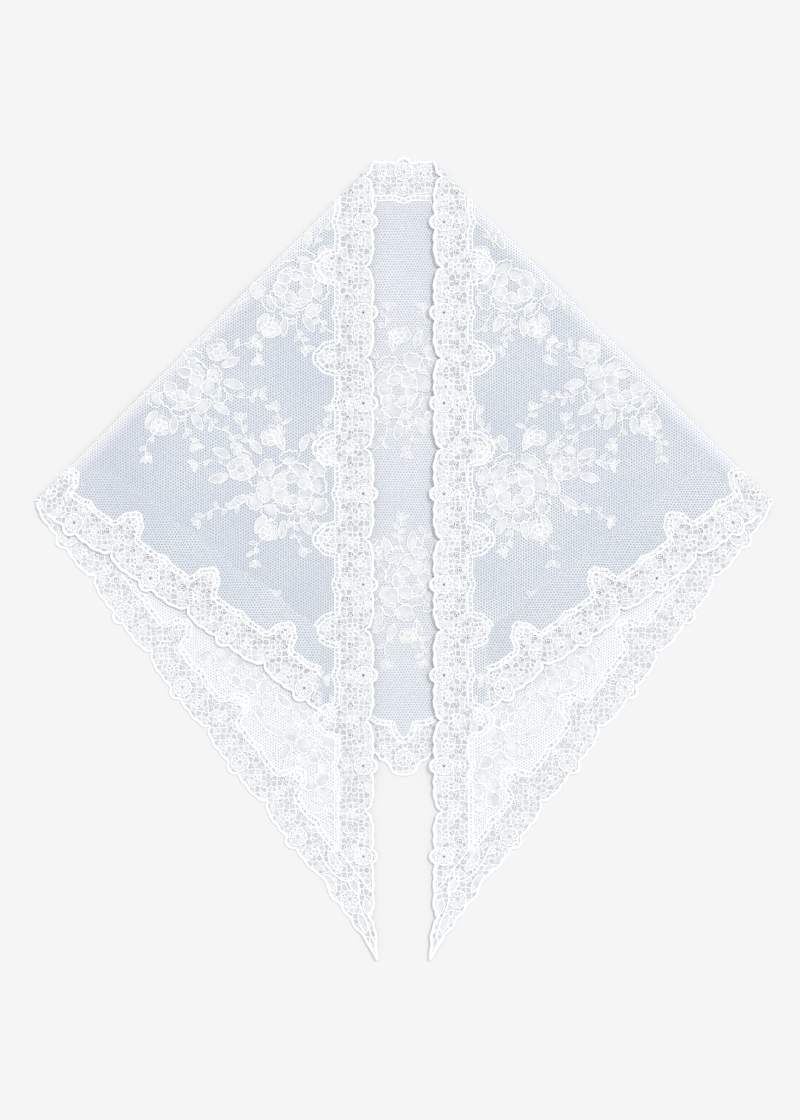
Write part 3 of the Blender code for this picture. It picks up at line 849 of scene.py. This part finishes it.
# The front tips have larger leaves and curved cords: places as mm back from the tip and mm in from the hem
tipMotifs = {
    # base, tip, width, bow
    "leaves": ((104, 27, 82, 24, 9, 0.2), (90, 10, 70, 8, 8, -0.2), (74, 27, 56, 25, 8, 0.2),
               (50, 26, 34, 20, 8, 0.25), (43, 13, 25, 7, 8, -0.15), (20, 8, 9, 3.5, 5, 0.0)),
    "cords": (((112, 20), (94, 17), (78, 19), (70, 26), (76, 33)), ((66, 31), (50, 19), (34, 14), (18, 8))),
    "leafCord": 0.9, "cord": 1.15,
}
for side in (-1, 1):
    for back0, in0, back1, in1, width, bow in tipMotifs["leaves"]:
        base, tip = placed(tipAt, back0, in0, side), placed(tipAt, back1, in1, side)
        addLeaf("hem", base, tip, width, bow * side, tipMotifs["leafCord"])
    for corners in tipMotifs["cords"]:
        path = smoothLine([placed(tipAt, *row, side) for row in corners], edgeStep)
        borderCords["hem"].append((path, tipMotifs["cord"], False))
print("border motifs placed")

# The sheets of the border, and the cords along their edges
outlines = {
    "neck": joined(lines["neck"][0], lines["neck"][1][::-1]),
    "right": joined(lines["end"][0], meetingLine, lines["end"][1][::-1]),
    "hem": joined(lines["hem"][0], tipLine, meetingLine, lines["hem"][1][::-1],
                  mirrored(meetingLine), mirrored(tipLine)),
}
outlines["left"] = mirrored(outlines["right"])
edges = {
    "neck": [(lines["neck"][0], border["outerCord"], False)] + ladderLines(lines["neck"][1]),
    "right": [(lines["end"][0], border["outerCord"], False)] + ladderLines(lines["end"][1]),
    "hem": [(lines["hem"][0], border["outerCord"], False)],
}
for path, radius in ((tipLine, border["tipCord"]), (meetingLine, border["meetingCord"])):
    edges["hem"] += [(path, radius, False), (mirrored(path), radius, False)]
edges["hem"] += ladderLines(lines["hem"][1])
edges["left"] = [(mirrored(path), radius, closed) for path, radius, closed in edges["right"]]
# The node that each length stands for, and its flat size in metres
lengths = {
    "neck": ("border_neck", (0.056, 1.09)), "left": ("border_front_left", (0.037, 0.156)),
    "right": ("border_front_right", (0.037, 0.156)), "hem": ("border_hem", (0.056, 1.86)),
}
sheetStep = {"border": 11, "net": 15}  # mm between two points inside a sheet


def addBorder(name):
    node, flatSize = lengths[name]
    cloth = sheetMesh(outlines[name], sheetStep["border"] * mm, borderHoles[name])
    area = sum(face.calc_area() for face in cloth.faces)
    sheet = addPiece(name + "Galloon", cloth, "galloon", [node])
    edging = addPiece(name + "Edging", cordMesh(edges[name]), "cord")
    motifs = cordMesh(borderCords[name], sides=4, raised=0.2)
    wheels = addPiece(name + "Wheels", motifs, "cord", raised=True)
    petals = addPiece(name + "Petals", borderToile[name], "toile", raised=True)
    print(name, "border: area", round(area, 4), "flat", round(flatSize[0] * flatSize[1], 4))


for name in outlines:
    addBorder(name)


def netOutline():
    # under the inner edges of the border
    wheels = [i * border["frontRepeat"] for i in range(border["neckWheels"] + 1)]
    top = waveLine(frontAt, border["innerWave"], wheels, border["frontRepeat"], 0, border["pastBump"])
    corner, inner = meetingLine[-1], lines["hem"][1]
    hem = [p for p in inner[len(inner) // 2:] if p.x < corner.x]
    half = smoothLine(top + [corner], edgeStep) + hem[::-1]
    return joined(mirrored(half), half)


cloth = sheetMesh(netOutline(), sheetStep["net"] * mm)
netArea = sum(face.calc_area() for face in cloth.faces)
net = addPiece("netGround", cloth, "net", ["net_ground"])
print("net: area", round(netArea, 4))

# A spray in mm about its middle. Petals: degrees, from, to, width, and the share that is woven.
# Flowers: x, y, size, how many of the petals. Leaves: base, tip, width. Stems: corners of each.
spray = {
    "petals": (
        (148, 6, 19, 18, 1.0), (88, 6, 18, 17, 0.8), (30, 6, 20, 18, 1.0), (-28, 6, 19, 16, 1.0),
        (-88, 6, 18, 18, 0.8), (-150, 6, 21, 17, 1.0),
        (118, 13, 29, 24, 0.8), (58, 13, 28, 24, 0.6), (2, 14, 32, 22, 0.9), (-58, 13, 27, 23, 0.6),
        (-120, 12, 27, 22, 0.8), (178, 15, 32, 21, 0.7), (146, 22, 38, 18, 0.9), (92, 23, 39, 21, 0.6),
        (46, 23, 39, 20, 0.9), (22, 27, 42, 16, 0.5), (-16, 27, 43, 16, 0.9), (-46, 22, 37, 18, 0.7),
        (-92, 21, 36, 19, 0.6), (-140, 21, 36, 18, 0.9), (-170, 26, 41, 15, 0.7),
    ),
    "flowers": (
        (-6, -2, 1.0, 21), (40, 16, 0.66, 7), (-36, 27, 0.5, 7), (16, -41, 0.45, 7), (14, 44, 0.45, 7),
    ),
    "leaves": (
        (2, 33, 8, 52, 9), (-14, 32, -20, 47, 8), (22, 30, 33, 42, 8), (50, 26, 66, 34, 8),
        (52, 10, 70, 6, 9), (34, -8, 52, -20, 8), (18, -26, 27, -42, 9), (2, -30, 4, -47, 8),
        (-14, -27, -23, -43, 9), (-32, -18, -47, -29, 8), (-42, 0, -60, -5, 9), (-40, 14, -56, 22, 8),
    ),
    "stems": (
        ((0, 30), (6, 44), (3, 56), (10, 70)), ((26, 34), (38, 48), (40, 60)),
        ((52, 18), (66, 24), (80, 20)), ((34, -12), (50, -20), (64, -20), (78, -30)),
        ((12, -26), (17, -42), (27, -54), (28, -66)), ((-8, -26), (-8, -42), (-16, -56)),
        ((-24, -24), (-34, -40), (-48, -46), (-54, -58)), ((-42, -8), (-58, -14), (-74, -12)),
        ((-40, 20), (-54, 32), (-68, 36)), ((-22, 32), (-28, 46), (-40, 58), (-40, 68)),
    ),
    "squash": 0.88,  # height of a flower for its width
    "flowerTurn": 15, "petalTurn": 4,  # random, in degrees
    "petalSize": (0.93, 1.07), "bow": 0.25,  # random, as shares
    "wovenWidth": 0.3,  # share of its width that the shortest woven part keeps
    "wovenRise": (0.03, 0.14),  # mm, random, so that neighbours lie a hair apart
    "heart": 7.0, "heartDots": ((0.3, 5), (0.7, 9)), "dot": 0.6,  # dots: share of the heart out, how many
    "stemStep": 3.5, "veinTo": 0.75,  # mm, and share of a leaf
    "petalCord": 0.62, "leafCord": 0.66, "stemCord": 0.58,  # radii in mm
    "heartCord": 0.5, "dotCord": 0.35, "veinCord": 0.3,
    "rim": 1.6,  # times as thick, round a petal's tip
}
# Small leaves along a stem
twig = {
    "leaf": (6.8, 3.9),  # length and width in mm
    "beside": (0.8, 1.3), "atEnd": (0.8, 1.1),  # random share of that length
    "along": 0.7, "out": 0.8,  # way of a leaf beside the stem
    "lean": (-0.9, 0, 0.8),  # of the leaves at the end
    "next": (1, 1, 2, 3),  # random number of points to the next leaf
    "cord": 0.5,
}
# Middles of the sprays in the laid shawl, from the middle of the neck: x, y, turn in degrees, layer.
# Those of the back under the fronts lie right below the fronts' own.
sprays = (
    (0.000, -0.206, 20, "back"), (0.002, -0.384, 200, "back"),
    (0.104, -0.114, 0, "front"), (0.106, -0.296, 0, "front"), (0.204, -0.202, 0, "front"),
    (0.148, -0.458, 35, "front"), (0.084, -0.545, 60, "front"), (0.104, -0.114, 0, "back"),
    (0.106, -0.296, 0, "back"), (0.204, -0.202, 0, "back"),
)
offMiddle = 0.01  # metres; past this a spray has a mirror image
sprayClear = {"edge": 38, "hem": 34, "fold": 3}  # mm
sprayCords, sprayToile = {"left": [], "right": []}, bmesh.new()


def netTakes(layer, *spots):
    # true where the net of that layer shows, clear of the borders and the folds
    way = 1 if layer == "back" else -1
    for p in spots:
        if -p.y < sprayClear["edge"] * mm or -pastHem(p) < sprayClear["hem"] * mm:
            return False
        if (pastFold(p) + bend / 2) * way < sprayClear["fold"] * mm:
            return False
    return True


def cordsAt(p):
    return sprayCords["left" if p.x < 0 else "right"]


def addSprayPetal(layer, base, tip, width, form, woven, cord, vein=False):
    # woven is the share of the petal, from its base, that is filled in
    if not netTakes(layer, base, tip):
        return
    cords = cordsAt(tip)
    bow = chance.uniform(-spray["bow"], spray["bow"])
    if woven:
        filled = base.lerp(tip, woven)
        filledWidth = width * (spray["wovenWidth"] + (1 - spray["wovenWidth"]) * woven)
        addPetal(sprayToile, base, filled, filledWidth, form, bow, chance.uniform(*spray["wovenRise"]) * mm)
    outline = petalOutline(base, tip, width, form, bow)
    cords.append((outline, cord, True))
    if form == "petal":
        # thicker thread round the tip, where the outline starts and ends
        cords.append((outline[-5:] + outline[:6], cord * spray["rim"], False))
    if vein:
        cords.append(([base, base.lerp(tip, spray["veinTo"])], spray["veinCord"], False))


def addTwig(layer, stem):
    # small leaves to both sides, unevenly spaced, and three at the end
    length, wide = twig["leaf"]
    cordsAt(stem[0]).append((stem, spray["stemCord"], False))
    away, i = 1, 2
    while i < len(stem) - 1:
        run = (stem[i] - stem[i - 1]).normalized()
        way = run * twig["along"] + Vector((-run.y, run.x)) * twig["out"] * away
        reach = way * length * chance.uniform(*twig["beside"]) * mm
        addSprayPetal(layer, stem[i], stem[i] + reach, wide * mm, "twig", 1.0, twig["cord"])
        away, i = -away, i + chance.choice(twig["next"])
    run = (stem[-1] - stem[-2]).normalized()
    for lean in twig["lean"]:
        reach = (run + Vector((-run.y, run.x)) * lean) * length * chance.uniform(*twig["atEnd"]) * mm
        addSprayPetal(layer, stem[-1], stem[-1] + reach, wide * mm, "twig", 1.0, twig["cord"])


def addBloom(spot, layer, u, v, size, count):
    # small blooms have thinner cords
    cord = spray["petalCord"] * (0.5 + 0.5 * size)
    first = chance.uniform(-spray["flowerTurn"], spray["flowerTurn"])
    for degrees, low, top, wide, woven in spray["petals"][:count]:
        angle = math.radians(degrees + first + chance.uniform(-spray["petalTurn"], spray["petalTurn"]))
        low, top, wide = (each * size * chance.uniform(*spray["petalSize"]) for each in (low, top, wide))
        base = spot(u + low * math.cos(angle), v + low * spray["squash"] * math.sin(angle))
        tip = spot(u + top * math.cos(angle), v + top * spray["squash"] * math.sin(angle))
        addSprayPetal(layer, base, tip, wide * mm, "petal", woven, cord)


def addHeart(spot, u, v, radius):
    # a ring of thread with small dots in it
    def ring(x, y, size, count):
        return [spot(u + x + p.x, v + y + p.y) for p in ringLine(origin, size, count)]

    cords = cordsAt(spot(0, 0))
    cords.append((ring(0, 0, radius, 12), spray["heartCord"], True))
    for share, count in spray["heartDots"]:
        for dot in ringLine(origin, radius * share, count):
            cords.append((ring(dot.x, dot.y, spray["dot"], 4), spray["dotCord"], True))


def addSpray(spot, layer, plain):
    # a plain one has no veins and no stems
    for u, v, size, count in spray["flowers"]:
        addBloom(spot, layer, u, v, size, count)
        if netTakes(layer, spot(u, v)):
            addHeart(spot, u, v, spray["heart"] * size)
    for bu, bv, tu, tv, wide in spray["leaves"]:
        base, tip = spot(bu, bv), spot(tu, tv)
        addSprayPetal(layer, base, tip, wide * mm, "leaf", 1.0, spray["leafCord"], vein=not plain)
    for corners in () if plain else spray["stems"]:
        stem = smoothLine([spot(*corner) for corner in corners], spray["stemStep"] * mm)
        stem = [p for p in stem if netTakes(layer, p)]
        if len(stem) > 3:
            addTwig(layer, stem)


def sprayPlace(x, y, turn, layer, side):
    # gives the function that finds a spray's place, in mm about its middle, in the cut
    along = Vector((math.cos(math.radians(turn)), math.sin(math.radians(turn))))
    across = Vector((-along.y, along.x))

    def spot(u, v):
        p = Vector((x, y)) + (along * u + across * v) * mm
        p = overFold(p) if layer == "front" else p
        return Vector((side * p.x, p.y))

    return spot


for x, y, turn, layer in sprays:
    for side in ((-1, 1) if x > offMiddle else (1,)):
        addSpray(sprayPlace(x, y, turn, layer, side), layer, plain=layer == "back" and x > offMiddle)
for name, cords in sprayCords.items():
    threads = cordMesh(cords, sides=4, raised=0.2, flatness=0.5)
    addPiece(name + "SprayCords", threads, "cord", raised=True)
addPiece("sprayPetals", sprayToile, "toile", raised=True)
print("sprays placed")

# A pale floor, soft light from all round and a soft key light from the upper right
floorLook = {"grain": 6, "half": 4, "colour": "E8E8E8", "surface": (0.95, 0.0, 0.0), "relief": (0.05, 0.1)}
studio = {"roomLight": 0.87, "keyLight": 1.03, "keyFrom": (0.5, 0.42, 0.9), "keySoftness": 16, "keyAway": 2}


def floorMaterial():
    material = newMaterial("matt painted board")
    place = addNode(material, "ShaderNodeTexCoord").outputs["Object"]
    return finished(material, floorLook, clouds(material, place, floorLook["grain"], 2.0))


bm = bmesh.new()
bmesh.ops.create_grid(bm, x_segments=1, y_segments=1, size=floorLook["half"])
mesh = bpy.data.meshes.new("floor")
bm.to_mesh(mesh)
bm.free()
mesh.materials.append(floorMaterial())
floor = bpy.data.objects.new("floor", mesh)
bpy.context.scene.collection.objects.link(floor)

world = bpy.data.worlds.new("studio")
bpy.context.scene.world = world
world.use_nodes = True
background = world.node_tree.nodes["Background"]
background.inputs["Color"].default_value = (1, 1, 1, 1)
background.inputs["Strength"].default_value = studio["roomLight"]
lamp = bpy.data.lights.new("key", "SUN")
lamp.energy = studio["keyLight"]
lamp.angle = math.radians(studio["keySoftness"])
key = bpy.data.objects.new("key", lamp)
key.rotation_mode = "QUATERNION"
key.rotation_quaternion = Vector(studio["keyFrom"]).to_track_quat("Z", "Y")
key.location = Vector(studio["keyFrom"]) * studio["keyAway"]
bpy.context.scene.collection.objects.link(key)

# The camera looks straight down; the frame's middle and height in metres, and the lens in mm
view = {"over": (-0.0032, -0.0011), "tall": 1.008, "lens": 100}
lens = bpy.data.cameras.new("camera")
lens.lens = view["lens"]
lens.clip_end = 20
camera = bpy.data.objects.new("camera", lens)
camera.location = (*view["over"], view["tall"] * view["lens"] / lens.sensor_width)
bpy.context.scene.collection.objects.link(camera)
bpy.context.scene.camera = camera
bpy.context.scene.view_settings.view_transform = "Standard"
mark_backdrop(floor, key, camera)

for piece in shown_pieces():
    print(piece.name, len(piece.data.polygons), "faces")
